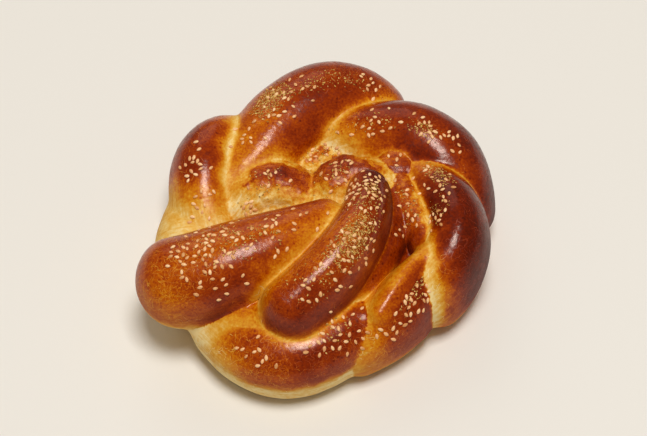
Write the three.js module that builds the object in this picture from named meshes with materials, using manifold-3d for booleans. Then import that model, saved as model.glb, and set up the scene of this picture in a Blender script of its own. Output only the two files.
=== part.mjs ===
// Crown challah: a braided round loaf, baked in one piece, with sesame seeds on its crust.
// Fat strands of dough rise and dive in a ring, and the two ends of the braid lie over the front.
// Millimetres, +Z up. The loaf stands on Z = 0, centred over the origin, with its front towards -Y.

import * as THREE from 'three';
import { mergeVertices } from 'three/addons/utils/BufferGeometryUtils.js';
import Module from 'manifold-3d';

// Driving dimensions

// A strand that rests on the table bulges this far below it before the underside is cut flat.
const SINK = 5;

// The rounded end of a strand is this long, as a share of its half width or its rise, the smaller.
const END_ROUNDNESS = 0.9;

// Facets of a thick strand and of a thin one: round the section, along the line and over each end.
const THICK = { sides: 22, steps: 10, ends: 4 };
const THIN = { sides: 14, steps: 5, ends: 3 };

// Strands of the braid. Each one comes up at its start, is highest at its crest and dives at its finish.
// Half widths, rises above the line and drops below it are given at those three places.
// A strand with no drop stands on the table.
const STRANDS = {
  // The ring, clockwise from the left
  left: {
    start: [-45, 50, 22], crest: [-59.5, 35, 28], finish: [-58, 2, 18],
    side: [16, 18, 18], rise: [20, 24, 20], facets: THICK,
  },
  back: {
    start: [-45, 24, 23], crest: [-10, 67, 31], finish: [22, 72, 24],
    side: [20, 24, 20], rise: [22, 26, 22], facets: THICK,
  },
  backRight: {
    start: [6, 51, 22], crest: [47, 44, 31], finish: [64, 18, 18],
    side: [17, 22, 20], rise: [22, 26, 22], facets: THICK,
  },
  right: {
    start: [49, 20, 24], crest: [62.5, -11, 31], finish: [50, -36, 20],
    side: [16, 17, 15], rise: [24, 26, 22], facets: THICK,
  },
  frontRight: {
    start: [44, -34, 25], crest: [33, -48, 25], finish: [12, -61, 18],
    side: [9, 16, 16], rise: [18, 17, 15], facets: THICK,
  },
  front: {
    start: [12, -56, 22], crest: [-21, -69.5, 21], finish: [-46, -52, 19],
    side: [16, 19, 18], rise: [17, 17, 15], facets: THICK,
  },
  frontLeft: {
    start: [-63, 9, 18], crest: [-63, -20, 18], finish: [-46, -45, 18],
    side: [19, 20, 16], rise: [18, 18, 18], facets: THICK,
  },
  // The ends of the braid, one across the other
  leftEnd: {
    start: [-1, -15, 48], crest: [-37, -33, 46], finish: [-71, -40, 37],
    side: [13, 20, 22], rise: [15, 20, 22], drop: [20, 22, 21], facets: THICK,
  },
  frontEnd: {
    start: [20, 1, 49], crest: [11, -30, 50], finish: [-16, -58, 40],
    side: [11, 14, 15.5], rise: [17, 20, 20], drop: [20, 22, 20], facets: THICK,
  },
  // The dough drawn out under the two ends, where they cross
  frontFold: {
    start: [-58, -52, 22], crest: [-40, -57, 31], finish: [-24, -58, 36],
    side: [9, 9, 8], rise: [8, 8, 7], facets: THIN,
  },
  // The inner turns of the braid, which show between the ring and the two ends
  innerLeft: {
    start: [-44, 9, 31], crest: [-29, 17, 37], finish: [-12, 14, 36],
    side: [11, 14, 12], rise: [9, 11, 9], facets: THIN,
  },
  innerBack: {
    start: [-3, 6, 34], crest: [9, 19, 38], finish: [26, 15, 36],
    side: [11, 13, 12], rise: [9, 13, 12], facets: THIN,
  },
  innerTop: {
    start: [-20, 33, 27], crest: [-3, 40, 30], finish: [14, 37, 29],
    side: [8, 10, 8], rise: [8, 9, 8], facets: THIN,
  },
  innerRight: {
    start: [24, 10, 36], crest: [22, -20, 38], finish: [4, -46, 32],
    side: [13, 14, 12], rise: [10, 13, 12], facets: THIN,
  },
  innerKnob: {
    start: [31, 27, 40], crest: [34, 26, 42], finish: [37, 22, 40],
    side: [6, 7, 6], rise: [6, 7, 6], facets: THIN,
  },
  innerFarRight: {
    start: [37, 14, 39], crest: [43, -5, 39], finish: [52, -23, 38],
    side: [8, 9, 8], rise: [8, 9, 8], facets: THIN,
  },
  innerFront: {
    start: [51, -25, 39], crest: [37, -40.5, 40], finish: [25, -58, 35.5],
    side: [4.5, 6, 5], rise: [8, 8, 7], facets: THIN,
  },
  // The dough that fills the middle under them all, and the flat sole that it baked on
  heart: {
    start: [0, 36, 17], crest: [0, -8, 18], finish: [0, -46, 14],
    side: [46, 52, 50], rise: [18, 24, 18], facets: THICK,
  },
  sole: {
    start: [2, 52, 6], crest: [0, 0, 7], finish: [-6, -54, 6],
    side: [40, 64, 34], rise: [8, 10, 8], facets: THICK,
  },
};

// Sesame seeds: a flat drop, wide at one end, pressed a little way into the crust.
const SEED = { length: 3.0, width: 1.9, thickness: 1.2, taper: 0.35, sunk: 0.15, sides: 5, rings: 3 };
const SEED_SPACING = 4.2;
const SEED_CLEARANCE = 0.12;
const SCATTER_START = 20261;
const SCATTER_TRIES = 60;

// Where the seeds lie: the stretch of a strand from 0 at its start to 1 at its finish, and the band round
// it in degrees, with 0 on the right of the strand's run and 90 on top.
const SEED_PATCHES = [
  { strand: 'left', along: [0.35, 1.0], round: [35, 125], count: 9 },
  { strand: 'back', along: [0.15, 0.6], round: [55, 125], count: 14 },
  { strand: 'back', along: [0.6, 1.0], round: [60, 115], count: 5 },
  { strand: 'backRight', along: [0.05, 0.8], round: [55, 120], count: 13 },
  { strand: 'right', along: [0.0, 0.5], round: [55, 125], count: 12 },
  { strand: 'right', along: [0.5, 1.0], round: [60, 120], count: 3 },
  { strand: 'frontRight', along: [0.2, 0.9], round: [75, 150], count: 10 },
  { strand: 'front', along: [0.0, 0.35], round: [70, 150], count: 8 },
  { strand: 'front', along: [0.35, 0.8], round: [85, 145], count: 4 },
  { strand: 'leftEnd', along: [0.55, 1.0], round: [50, 135], count: 15 },
  { strand: 'leftEnd', along: [0.1, 0.55], round: [60, 140], count: 10 },
  { strand: 'frontEnd', along: [0.0, 0.4], round: [45, 150], count: 16 },
  { strand: 'frontEnd', along: [0.4, 0.95], round: [60, 150], count: 15 },
  { strand: 'innerLeft', along: [0.2, 0.9], round: [45, 120], count: 5 },
  { strand: 'innerBack', along: [0.0, 0.8], round: [60, 130], count: 6 },
  { strand: 'innerFarRight', along: [0.0, 0.6], round: [45, 100], count: 3 },
];

const CRUST = new THREE.MeshStandardMaterial({ color: 0x93471c, roughness: 0.4, metalness: 0 });

const UP = new THREE.Vector3(0, 0, 1);

const wasm = await Module();
wasm.setup();

// Curves

// A smooth curve that passes through its middle point halfway along.
function curveThrough(start, middle, finish) {
  const [a, b, c] = [start, middle, finish].map((point) => new THREE.Vector3(...point));
  const pull = b.clone().multiplyScalar(2).addScaledVector(a, -0.5).addScaledVector(c, -0.5);
  return new THREE.QuadraticBezierCurve3(a, pull, c);
}

// The line of a strand, and its half width, rise and drop as the three numbers of another curve.
function strandCurves({ start, crest, finish, side, rise, drop, facets }) {
  const places = [start, crest, finish];
  const drops = drop ?? places.map((place) => place[2] + SINK);
  const sizes = [0, 1, 2].map((i) => [side[i], rise[i], drops[i]]);
  return { line: curveThrough(...places), sizes: curveThrough(...sizes), facets };
}

// The section of a strand at t: its centre, its run, the directions across and up, and its sizes.
function sectionAt({ line, sizes }, t) {
  const along = line.getTangent(t);
  const across = along.clone().cross(UP).normalize();
  const up = across.clone().cross(along);
  const { x: side, y: rise, z: drop } = sizes.getPoint(t);
  return { centre: line.getPoint(t), along, across, up, side, rise, drop };
}

// Solids

// A closed geometry as a solid, with shared corners merged and the flat triangles at its poles dropped.
function solidOf(geometry) {
  geometry.deleteAttribute('normal');
  geometry.deleteAttribute('uv');
  const merged = mergeVertices(geometry);
  const corners = merged.getIndex().array;
  const triangles = [];
  for (let i = 0; i < corners.length; i += 3) {
    const [a, b, c] = corners.slice(i, i + 3);
    if (a !== b && b !== c && c !== a) triangles.push(a, b, c);
  }
  const vertProperties = new Float32Array(merged.getAttribute('position').array);
  const triVerts = new Uint32Array(triangles);
  return new wasm.Manifold(new wasm.Mesh({ numProp: 3, vertProperties, triVerts }));
}

// A capsule of radius 1 bent along a strand's line and fitted to its sections.
function strandSolid(curves) {
  const { sides, steps, ends } = curves.facets;
  const straight = 1;
  const geometry = new THREE.CapsuleGeometry(1, straight, ends, sides, steps);
  const position = geometry.getAttribute('position');
  const point = new THREE.Vector3();
  for (let i = 0; i < position.count; i++) {
    point.fromBufferAttribute(position, i);
    const t = THREE.MathUtils.clamp(point.y / straight + 0.5, 0, 1);
    const pastEnd = point.y - (t - 0.5) * straight;
    const { centre, along, across, up, side, rise, drop } = sectionAt(curves, t);
    const height = point.z > 0 ? rise : drop;
    centre.addScaledVector(across, point.x * side);
    centre.addScaledVector(up, point.z * height);
    centre.addScaledVector(along, pastEnd * END_ROUNDNESS * Math.min(side, rise));
    position.setXYZ(i, ...centre);
  }
  return solidOf(geometry);
}

// Everything under the table's top.
function tableSolid() {
  const reach = 400;
  return solidOf(new THREE.BoxGeometry(reach, reach, reach).translate(0, 0, -reach / 2));
}

// A seed lying on the crust at a point, turned by an angle about the crust's outward direction.
function seedSolid({ point, outward, turn }) {
  const { length, width, thickness, taper, sunk, sides, rings } = SEED;
  const geometry = new THREE.SphereGeometry(1, sides, rings);
  const position = geometry.getAttribute('position');
  for (let i = 0; i < position.count; i++) {
    const narrowing = 1 - taper * Math.max(position.getY(i), 0);
    position.setX(i, position.getX(i) * narrowing);
  }
  geometry.scale(width / 2, length / 2, thickness / 2);
  const lying = new THREE.Matrix4().makeRotationZ(turn).setPosition(0, 0, -sunk);
  const facing = new THREE.Quaternion().setFromUnitVectors(UP, outward);
  const place = new THREE.Matrix4().compose(point, facing, new THREE.Vector3(1, 1, 1));
  return solidOf(geometry.applyMatrix4(place.multiply(lying)));
}

// Where the seeds go

// Repeatable random numbers from 0 to 1, so that the seeds always fall alike.
function randomNumbers(start) {
  const multiplier = 16807;
  const modulus = 2147483647;
  let state = start;
  return () => {
    state = (state * multiplier) % modulus;
    return state / modulus;
  };
}

// A point of a strand's crust and its outward direction. Facets lie inside the true round, so the point
// is drawn in by half of the most that they do.
function crustAt(curves, t, degrees) {
  const { centre, across, up, side, rise, drop } = sectionAt(curves, t);
  const angle = THREE.MathUtils.degToRad(degrees);
  const height = Math.sin(angle) > 0 ? rise : drop;
  const facetSag = height * (1 - Math.cos(Math.PI / curves.facets.sides));
  const point = centre.addScaledVector(across, side * Math.cos(angle));
  point.addScaledVector(up, height * Math.sin(angle));
  const outward = across.multiplyScalar(Math.cos(angle) / side);
  outward.addScaledVector(up, Math.sin(angle) / height).normalize();
  point.addScaledVector(outward, -facetSag / 2);
  return { point, outward };
}

// Whether a point lies in a strand or within the seeds' clearance of it.
function covers(curves, point) {
  const checks = 24;
  for (let i = 0; i <= checks; i++) {
    const { centre, along, across, up, side, rise, drop } = sectionAt(curves, i / checks);
    const offset = point.clone().sub(centre);
    const height = offset.dot(up) > 0 ? rise : drop;
    const run = offset.dot(along) / (END_ROUNDNESS * Math.min(side, rise));
    const distance = Math.hypot(offset.dot(across) / side, offset.dot(up) / height, run);
    if (distance < 1 + SEED_CLEARANCE) return true;
  }
  return false;
}

// Seeds drawn at random in each patch, clear of each other and of the strands that lie over the patch.
function scatterSeeds(strands) {
  const random = randomNumbers(SCATTER_START);
  const between = ([low, high]) => low + (high - low) * random();
  const seeds = [];
  for (const { strand, along, round, count } of SEED_PATCHES) {
    const others = Object.keys(strands).filter((name) => name !== strand);
    let left = count;
    for (let tries = 0; left > 0 && tries < SCATTER_TRIES * count; tries++) {
      const seed = crustAt(strands[strand], between(along), between(round));
      seed.turn = between([0, 2 * Math.PI]);
      const crowded = seeds.some((other) => other.point.distanceTo(seed.point) < SEED_SPACING);
      if (crowded || others.some((name) => covers(strands[name], seed.point))) continue;
      seeds.push(seed);
      left -= 1;
    }
  }
  return seeds;
}

// The loaf

// A solid's main body: hollows that it closes are filled, and loose scraps are left out.
function mainBody(solid) {
  return solid.decompose().reduce((main, body) => (body.volume() > main.volume() ? body : main));
}

// The strands joined and cut flat underneath, with their seeds fused on.
function loafSolid() {
  const strands = {};
  for (const [name, strand] of Object.entries(STRANDS)) strands[name] = strandCurves(strand);
  const lobes = Object.values(strands).map(strandSolid);
  const dough = mainBody(lobes.reduce((whole, lobe) => whole.add(lobe)).subtract(tableSolid()));
  const seeds = scatterSeeds(strands).map(seedSolid);
  return mainBody(seeds.reduce((whole, seed) => whole.add(seed), dough));
}

// The solid as a mesh, moved so that the middle of its underside is the origin.
function loafMesh() {
  const { numProp, vertProperties, triVerts } = loafSolid().getMesh();
  const geometry = new THREE.BufferGeometry();
  geometry.setAttribute('position', new THREE.BufferAttribute(vertProperties, numProp));
  geometry.setIndex(new THREE.BufferAttribute(triVerts, 1));
  geometry.computeBoundingBox();
  const middle = geometry.boundingBox.getCenter(new THREE.Vector3());
  geometry.translate(-middle.x, -middle.y, -geometry.boundingBox.min.z);
  geometry.computeVertexNormals();
  const mesh = new THREE.Mesh(geometry, CRUST);
  mesh.name = 'loaf';
  return mesh;
}

const crownChallah = new THREE.Group();
crownChallah.add(loafMesh());

export default crownChallah;
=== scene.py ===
"""Crown challah: a round braided loaf with an egg-washed crust, sesame seeds, fine crumbs and hair cracks.

The strands of the braid are melted into one skin, and each spot of it is browned by where it lies. Seeds,
crumbs and cracks are then laid on that skin. Strand sizes are millimetres in the braid's own frame: X to
the right, Y to the back, Z up from the table, with the origin near the middle of the crown.
"""

import logging
import math
from dataclasses import dataclass, field
from enum import Enum
from typing import Any

import bpy
import numpy as np
from mathutils import Matrix, Vector, noise
from mathutils.bvhtree import BVHTree

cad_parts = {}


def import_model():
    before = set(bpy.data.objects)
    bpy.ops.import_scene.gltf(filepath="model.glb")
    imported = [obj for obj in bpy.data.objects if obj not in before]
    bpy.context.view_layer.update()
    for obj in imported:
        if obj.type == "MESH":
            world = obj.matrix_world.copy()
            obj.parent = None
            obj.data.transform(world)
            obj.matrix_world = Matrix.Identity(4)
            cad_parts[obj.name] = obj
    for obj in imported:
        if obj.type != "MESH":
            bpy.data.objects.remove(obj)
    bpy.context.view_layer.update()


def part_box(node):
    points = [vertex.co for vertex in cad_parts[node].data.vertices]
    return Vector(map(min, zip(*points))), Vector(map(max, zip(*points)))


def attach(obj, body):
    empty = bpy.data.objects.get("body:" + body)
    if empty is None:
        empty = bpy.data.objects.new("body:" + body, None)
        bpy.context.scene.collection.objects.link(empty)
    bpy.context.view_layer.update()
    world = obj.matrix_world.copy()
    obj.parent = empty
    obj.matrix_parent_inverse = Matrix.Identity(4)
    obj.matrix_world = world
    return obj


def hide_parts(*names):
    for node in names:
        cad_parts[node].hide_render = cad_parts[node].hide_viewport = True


LOG = logging.getLogger("crown_challah")

MM = 0.001
LOAF_NODE = "loaf"
BODY = "root"

Triple = tuple[float, float, float]
Span = tuple[float, float]
Socket = bpy.types.NodeSocket
Tree = bpy.types.NodeTree
Random = np.random.Generator
Faces = list[tuple[int, ...]]

# A small piece: its points and its triangles.
Piece = tuple[np.ndarray, np.ndarray]

# Places on a colour ramp with their sRGB colours.
Stops = tuple[tuple[float, str], ...]

# Layers of smooth noise: size of the bumps in millimetres, their height, and a number of the layer's own.
Waves = tuple[Triple, ...]

# The rounded end of a strand is this long, as a share of its half width or its rise, the smaller.
END_ROUNDNESS = 0.9

# A strand that rests on the table bulges this far below it before the underside is flattened.
SINK_MM = 5.0

# These strands fill the loaf under the braid, and no crust stretched open beside them.
FILLING = ("heart", "sole")

# Most values of a noise texture lie in this span, about this middle.
NOISE_SPAN = (0.3, 0.7)
NOISE_MIDDLE = 0.5

# A smaller share counts as this one, so that nothing is divided by zero.
SMALLEST = 1e-6

# Toppings lie thickest in the middle of a patch and reach a little past it, as shares of half its width.
PATCH_SPREAD = 0.55
PATCH_REACH = 1.15


def linear(hex_colour: str) -> tuple[float, float, float, float]:
    """Turn an sRGB colour into linear light.

    Args:
        hex_colour: six hexadecimal digits after a hash sign.

    Returns:
        Linear red, green and blue, and an alpha of 1.
    """
    channels = [int(hex_colour[i:i + 2], 16) / 255 for i in (1, 3, 5)]
    light = [c / 12.92 if c <= 0.04045 else ((c + 0.055) / 1.055) ** 2.4 for c in channels]
    return (light[0], light[1], light[2], 1.0)


def per_metre(size_mm: float) -> float:
    """Texture scale whose features are about this many millimetres apart."""
    return 1.0 / (size_mm * MM)


def add_node(tree: Tree, kind: str, inputs: dict[Any, Any] | None = None,
             stops: Stops = (), **settings: Any) -> bpy.types.Node:
    """Add a node with its settings and links.

    Args:
        tree: the material's node tree.
        kind: the node's type.
        inputs: for each input socket, the socket that feeds it or its fixed value.
        stops: for a colour ramp, its places from 0 to 1 with their sRGB colours.
        settings: the node's own properties.

    Returns:
        The new node.
    """
    node = tree.nodes.new(kind)
    for name, value in settings.items():
        setattr(node, name, value)
    for socket, value in (inputs or {}).items():
        if isinstance(value, Socket):
            tree.links.new(value, node.inputs[socket])
        else:
            node.inputs[socket].default_value = value
    if stops:
        ramp = node.color_ramp
        while len(ramp.elements) < len(stops):
            ramp.elements.new(1.0)
        for element, (place, colour) in zip(ramp.elements, stops):
            element.position = place
            element.color = linear(colour)
    return node


def attribute(tree: Tree, name: str) -> Socket:
    """The number that a mesh holds under this name for each of its points."""
    return add_node(tree, "ShaderNodeAttribute", attribute_name=name).outputs["Fac"]


def calculate(tree: Tree, operation: str, *values: Any) -> Socket:
    """The result of one math node on sockets or fixed numbers."""
    return add_node(tree, "ShaderNodeMath", dict(enumerate(values)), operation=operation).outputs[0]


def combine(tree: Tree, operation: str, result: Any, *others: Any) -> Socket:
    """Add or multiply several values, taken in turn.

    Args:
        tree: the material's node tree.
        operation: the math node's operation.
        result: the first value, a socket or a number.
        others: the values that follow.

    Returns:
        The socket of the sum or product.
    """
    for other in others:
        result = calculate(tree, operation, result, other)
    return result


def ranged(tree: Tree, value: Socket, source: Span, target: Span) -> Socket:
    """A value taken from one range to another, and held at its ends."""
    ends = zip(("From Min", "From Max", "To Min", "To Max"), source + target)
    return add_node(tree, "ShaderNodeMapRange", {"Value": value, **dict(ends)}).outputs[0]


def noise_node(tree: Tree, place: Socket, size_mm: float, detail: float,
               roughness: float = 0.5, distortion: float = 0.0) -> Socket:
    """Smooth noise from about 0 to 1 whose features are about this many millimetres apart."""
    return add_node(tree, "ShaderNodeTexNoise", {
        "Vector": place, "Scale": per_metre(size_mm), "Detail": detail, "Roughness": roughness,
        "Distortion": distortion}).outputs["Fac"]


def add_surface(tree: Tree, inputs: dict[str, Any]) -> None:
    """End a material in a surface shader with these inputs."""
    shader = add_node(tree, "ShaderNodeBsdfPrincipled", inputs)
    add_node(tree, "ShaderNodeOutputMaterial", {"Surface": shader.outputs["BSDF"]})


def swing(amount: float) -> Span:
    """The span from an amount below nothing to the same above it."""
    return (-amount, amount)


def new_material(name: str) -> tuple[bpy.types.Material, Tree]:
    """Make an empty node material.

    Args:
        name: the material's name.

    Returns:
        The material and its node tree.
    """
    material = bpy.data.materials.new(name)
    material.use_nodes = True
    material.node_tree.nodes.clear()
    return material, material.node_tree


def new_object(name: str, mesh: bpy.types.Mesh) -> bpy.types.Object:
    """Put a mesh into the scene.

    Args:
        name: the object's name.
        mesh: its mesh.

    Returns:
        The object.
    """
    piece = bpy.data.objects.new(name, mesh)
    bpy.context.scene.collection.objects.link(piece)
    return piece


def mesh_from(name: str, points: np.ndarray, faces: Faces) -> bpy.types.Mesh:
    """Make a mesh.

    Args:
        name: the mesh's name.
        points: its points.
        faces: for each face, the numbers of its corners.

    Returns:
        The mesh.
    """
    mesh = bpy.data.meshes.new(name)
    mesh.from_pydata(points.tolist(), [], faces)
    mesh.update()
    return mesh


def vectors_of(mesh: bpy.types.Mesh, name: str) -> np.ndarray:
    """Read a vector of each point of a mesh.

    Args:
        mesh: the mesh.
        name: what the vector is called, such as co for the place.

    Returns:
        The vectors, a row for each point.
    """
    values = np.empty(len(mesh.vertices) * 3)
    mesh.vertices.foreach_get(name, values)
    return values.reshape(-1, 3)


def ring_faces(rows: int, sides: int) -> Faces:
    """Faces of a closed skin of rings, whose two tips come after the rings.

    Args:
        rows: how many rings there are.
        sides: points in each ring.

    Returns:
        Triangles round the tips, and four-sided faces between the rings.
    """
    first_tip = rows * sides
    last_ring = first_tip - sides
    faces: Faces = []
    for j in range(sides):
        k = (j + 1) % sides
        faces.append((first_tip, j, k))
        faces.append((first_tip + 1, last_ring + k, last_ring + j))
        for low in range(0, last_ring, sides):
            high = low + sides
            faces.append((low + j, high + j, high + k, low + k))
    return faces


def set_values(mesh: bpy.types.Mesh, name: str, values: np.ndarray) -> None:
    """Store one number for each point of a mesh."""
    layer = mesh.attributes.new(name, "FLOAT", "POINT")
    layer.data.foreach_set("value", np.ascontiguousarray(values, dtype=np.float32))


def smooth_step(low: float, high: float, value: np.ndarray) -> np.ndarray:
    """Rise smoothly from 0 at low to 1 at high."""
    share = np.clip((value - low) / (high - low), 0.0, 1.0)
    return share * share * (3.0 - 2.0 * share)


def noise_at(points: np.ndarray, size_mm: float, seed: float) -> np.ndarray:
    """Smooth noise from about -1 to 1 with bumps of about this size, at points in millimetres."""
    places = points / size_mm + seed
    return np.array([noise.noise(Vector(place)) for place in places])


def waves_at(points: np.ndarray, waves: Waves) -> np.ndarray:
    """The layers of noise added up, at points in millimetres."""
    return sum(height * noise_at(points, size_mm, seed) for size_mm, height, seed in waves)


def mixed(value: np.ndarray, goal: np.ndarray, share: np.ndarray | float) -> np.ndarray:
    """A share of the way from a value to a goal."""
    return value + (goal - value) * share


def through(points: np.ndarray, t: np.ndarray) -> np.ndarray:
    """Follow the smooth curve through three points, the middle one halfway along.

    Args:
        points: the three points, a row for each.
        t: how far along the curve, from 0 to 1.

    Returns:
        The place at each t.
    """
    start, middle, finish = points
    pull = 2.0 * middle - (start + finish) / 2.0
    t = t[:, None]
    return (1.0 - t) ** 2 * start + 2.0 * t * (1.0 - t) * pull + t**2 * finish


def direction(points: np.ndarray, t: np.ndarray) -> np.ndarray:
    """Find which way the smooth curve through three points runs.

    Args:
        points: the three points, a row for each.
        t: how far along the curve, from 0 to 1.

    Returns:
        The unit direction at each t.
    """
    start, middle, finish = points
    pull = 2.0 * middle - (start + finish) / 2.0
    t = t[:, None]
    run = (1.0 - t) * (pull - start) + t * (finish - pull)
    return run / np.linalg.norm(run, axis=1, keepdims=True)


def blended(away: np.ndarray, width: float) -> np.ndarray:
    """The smallest of each column of distances, rounded off where two are within about this width."""
    nearest = away.min(axis=0)
    return nearest - width * np.log(np.exp(-(away - nearest) / width).sum(axis=0))


@dataclass(frozen=True)
class Sections:
    """Cross sections of a strand along its run, a row for each."""

    t: np.ndarray
    centre: np.ndarray
    along: np.ndarray
    across: np.ndarray
    up: np.ndarray
    side: np.ndarray
    rise: np.ndarray
    drop: np.ndarray

    @property
    def reach(self) -> np.ndarray:
        """Length of a rounded end fitted to each section."""
        return END_ROUNDNESS * np.minimum(self.side, self.rise)


class Skin(Enum):
    """How the skin of a strand came out of the oven. The value is how craggy it is."""

    TAUT = 0.0
    LUMPY = 0.65
    TORN = 1.0


@dataclass(frozen=True)
class Strand:
    """One strand of dough, which comes up at its start, crests and dives at its finish.

    Half widths, rises above the line and drops below it are given at those three places. So is the
    browning, from 0 for pale dough to 1 for the darkest crust, on the right of the run, on top and on the
    left. A number below 0 makes the pale dough beside it wider. A strand with no drop stands on the table.

    rim is the browning low down, and the heights in millimetres between which it begins. under gives the
    strands that lie over this one, with the width in millimetres of the stripe where its crust stretched
    open beside them, and the stripe's browning. A strand that melts has run into its neighbours. The fibres
    of bare dough lie along its run, or round it if it was pulled across.
    """

    start: Triple
    crest: Triple
    finish: Triple
    side: Triple
    rise: Triple
    drop: Triple | None = None
    skin: Skin = Skin.TAUT
    melts: bool = False
    pulled_across: bool = False
    right: Triple = (0.5, 0.5, 0.5)
    top: Triple = (0.5, 0.5, 0.5)
    left: Triple = (0.5, 0.5, 0.5)
    rim: Triple = (0.32, 4.0, 13.0)
    under: dict[str, Span] = field(default_factory=dict)

    @property
    def length(self) -> float:
        """Straight distance from start to finish, in millimetres."""
        return float(np.linalg.norm(np.subtract(self.finish, self.start)))

    def sections(self, t: np.ndarray) -> Sections:
        """Cut the strand across.

        Args:
            t: where, from 0 at its start to 1 at its finish.

        Returns:
            The cross sections.
        """
        places = np.array([self.start, self.crest, self.finish])
        drops = self.drop or tuple(places[:, 2] + SINK_MM)
        sizes = through(np.array([self.side, self.rise, drops]).T, t)
        along = direction(places, t)
        across = np.cross(along, [0.0, 0.0, 1.0])
        across /= np.linalg.norm(across, axis=1, keepdims=True)
        up = np.cross(across, along)
        return Sections(t, through(places, t), along, across, up, *sizes.T)

    def shell(self, sides: int = 56, steps: int = 40, ends: int = 10) -> tuple[np.ndarray, Faces]:
        """The strand as a closed skin.

        Args:
            sides: points round each section.
            steps: sections along the run.
            ends: rings over each rounded end.

        Returns:
            Its points in millimetres, and its faces.
        """
        turn = np.linspace(0.0, math.pi / 2, ends, endpoint=False)
        t = np.concatenate([np.zeros(ends), np.linspace(0.0, 1.0, steps), np.ones(ends)])
        past = np.concatenate([-np.cos(turn), np.zeros(steps), np.cos(turn)[::-1]])
        swell = np.sqrt(np.maximum(1.0 - past**2, 0.0))
        cut = self.sections(t)
        angle = np.linspace(0.0, 2.0 * math.pi, sides, endpoint=False)
        height = np.where(np.sin(angle) > 0.0, cut.rise[:, None], cut.drop[:, None])
        wide = (swell * cut.side)[:, None] * np.cos(angle)
        tall = swell[:, None] * height * np.sin(angle)
        middle = cut.centre + (past * cut.reach)[:, None] * cut.along
        rings = middle[:, None] + wide[..., None] * cut.across[:, None] + tall[..., None] * cut.up[:, None]
        rings = rings[1:-1]
        points = np.concatenate([rings.reshape(-1, 3), middle[:1], middle[-1:]])
        return points, ring_faces(len(rings), sides)

    def crust_at(self, t: float, degrees: float, tip: float = 0.9) -> np.ndarray:
        """A place on the strand's skin.

        Args:
            t: from 0 at its start to 1 at its finish, and past them on the rounded ends.
            degrees: round the section, 0 on the right of the run and 90 on top.
            tip: how far out on a rounded end a place may lie, as a share of the end.

        Returns:
            The place in millimetres.
        """
        cut = self.sections(np.clip([t], 0.0, 1.0))
        angle = math.radians(degrees)
        height = cut.rise[0] if math.sin(angle) > 0 else cut.drop[0]
        past = float(np.clip((t - cut.t[0]) * self.length / cut.reach[0], -tip, tip))
        spoke = cut.across[0] * cut.side[0] * math.cos(angle) + cut.up[0] * height * math.sin(angle)
        return cut.centre[0] + (spoke * math.sqrt(1.0 - past**2) + cut.along[0] * past * cut.reach[0])

    def browning(self, t: np.ndarray, angle: np.ndarray) -> np.ndarray:
        """Brown the strand as if nothing lay over it.

        Args:
            t: places along the run, from 0 to 1.
            angle: places round the section, in radians.

        Returns:
            The browning at each place.
        """
        right, top, left = through(np.array([self.right, self.top, self.left]).T, t).T
        aside = np.cos(angle)
        return top + np.maximum(aside, 0.0) * (right - top) + np.maximum(-aside, 0.0) * (left - top)

    def measure(self, points: np.ndarray, samples: int = 41) -> tuple[np.ndarray, np.ndarray, np.ndarray]:
        """How far points lie from the strand's skin, and beside which spot of it.

        Args:
            points: places in millimetres.
            samples: sections that are tried for each point.

        Returns:
            Distances, negative inside, the t beside each point, and its angle round the section in radians.
        """
        cut = self.sections(np.linspace(0.0, 1.0, samples))
        wide = points @ cut.across.T - np.sum(cut.centre * cut.across, axis=1)
        tall = points @ cut.up.T - np.sum(cut.centre * cut.up, axis=1)
        run = points @ cut.along.T - np.sum(cut.centre * cut.along, axis=1)
        height = np.where(tall > 0.0, cut.rise, cut.drop)
        share = np.sqrt((wide / cut.side) ** 2 + (tall / height) ** 2 + (run / cut.reach) ** 2)
        best = np.argmin(share, axis=1)
        row = np.arange(len(points))
        share = np.maximum(share[row, best], SMALLEST)
        wide, tall, run = wide[row, best], tall[row, best], run[row, best]
        away = np.sqrt(wide**2 + tall**2 + run**2)
        angle = np.arctan2(tall / height[row, best], wide / cut.side[best])
        return away * (1.0 - 1.0 / share), cut.t[best], angle


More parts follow.
